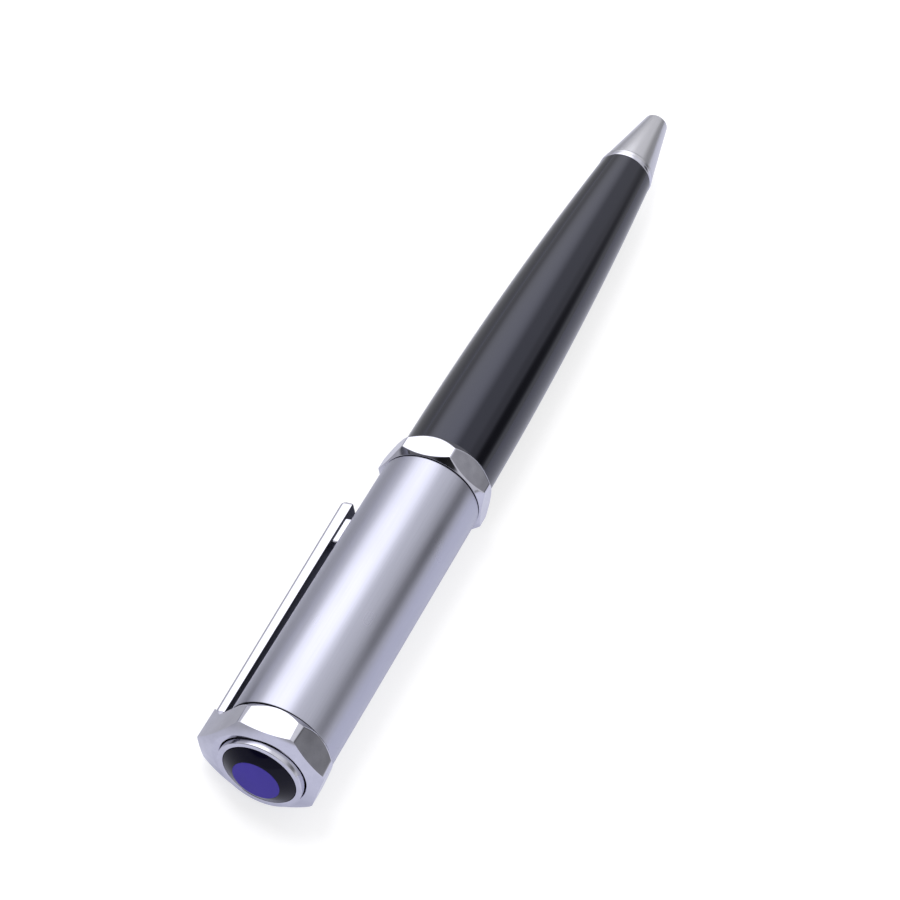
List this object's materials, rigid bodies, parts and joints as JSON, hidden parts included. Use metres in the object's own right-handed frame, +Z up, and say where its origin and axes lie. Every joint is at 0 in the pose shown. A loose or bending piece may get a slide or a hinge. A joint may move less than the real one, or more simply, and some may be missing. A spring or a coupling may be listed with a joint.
{
  "type": "twist-action ballpoint pen",
  "caption": "Metal twist-action ballpoint pen with a seven-sided clip head set with a stone, a matching centre ring, a satin cap, a black tapered barrel and a steel nose.",
  "frame": {"origin": "middle of the centre ring's lowest flat, the flat that the pen lies on", "axes": "+X along the pen towards the writing tip, +Z up out of the table when the pen lies on the ring's flat, +Y to the left seen from the head"},
  "size_m": [0.1266, 0.0168, 0.015],
  "materials": {
    "polished_steel": "mirror polish",
    "satin_steel": "fine satin",
    "plain_steel": "drawn, plain",
    "black_resin": "high-gloss black resin",
    "blue_stone": "polished blue-violet stone",
    "brass": "turned, plain",
    "black_rubber": "matte",
    "black_acetal": "matte",
    "white_acetal": "matte",
    "ball_carbide": "ground and polished"
  },
  "bodies": {
    "core": {"centre_ring": "polished_steel", "hub": "brass", "guide_tube": "brass", "retaining_ring": "plain_steel", "o_ring": "black_rubber", "glide_washer": "black_acetal"},
    "cap": {"cap_tube": "satin_steel", "head": "polished_steel", "bezel": "polished_steel", "stone": "blue_stone", "head_screw": "plain_steel", "cap_plug": "brass", "drive_sleeve": "brass", "clip_pin": "plain_steel", "clip_leaf_spring": "plain_steel"},
    "clip_body": {"clip": "polished_steel"},
    "drive": {"plunger": "white_acetal", "drive_pin": "plain_steel", "refill_tube": "plain_steel", "refill_plug": "black_acetal", "refill_nozzle": "brass", "writing_ball": "ball_carbide"},
    "front": {"barrel": "black_resin", "barrel_insert": "brass", "nose_trim_ring": "polished_steel", "nose_cone": "satin_steel", "return_spring": "plain_steel"}
  },
  "joints": [
    {"name": "cap_twist", "type": "hinge", "parent": "core", "child": "cap", "pos_m": [0, 0, 0.00692], "axis": [1, 0, 0], "range_deg": [0, 180]},
    {"name": "clip_lift", "type": "hinge", "parent": "cap", "child": "clip_body", "pos_m": [-0.04548, 0.00708, 0.00325], "axis": [0, 0.4598, 0.888], "range_deg": [0, 3], "stiffness_Nm_per_rad": 1},
    {"name": "refill_feed", "type": "slide", "parent": "core", "child": "drive", "axis": [1, 0, 0], "range_m": [0, 0.0052], "deforming": ["return_spring"]},
    {"name": "barrel_removal", "type": "slide", "parent": "core", "child": "front", "axis": [1, 0, 0], "range_m": [0, 0.08]}
  ],
  "couplings": [
    {"joint": "refill_feed", "follows": "cap_twist", "m_per_rad": 0.0016552}
  ]
}
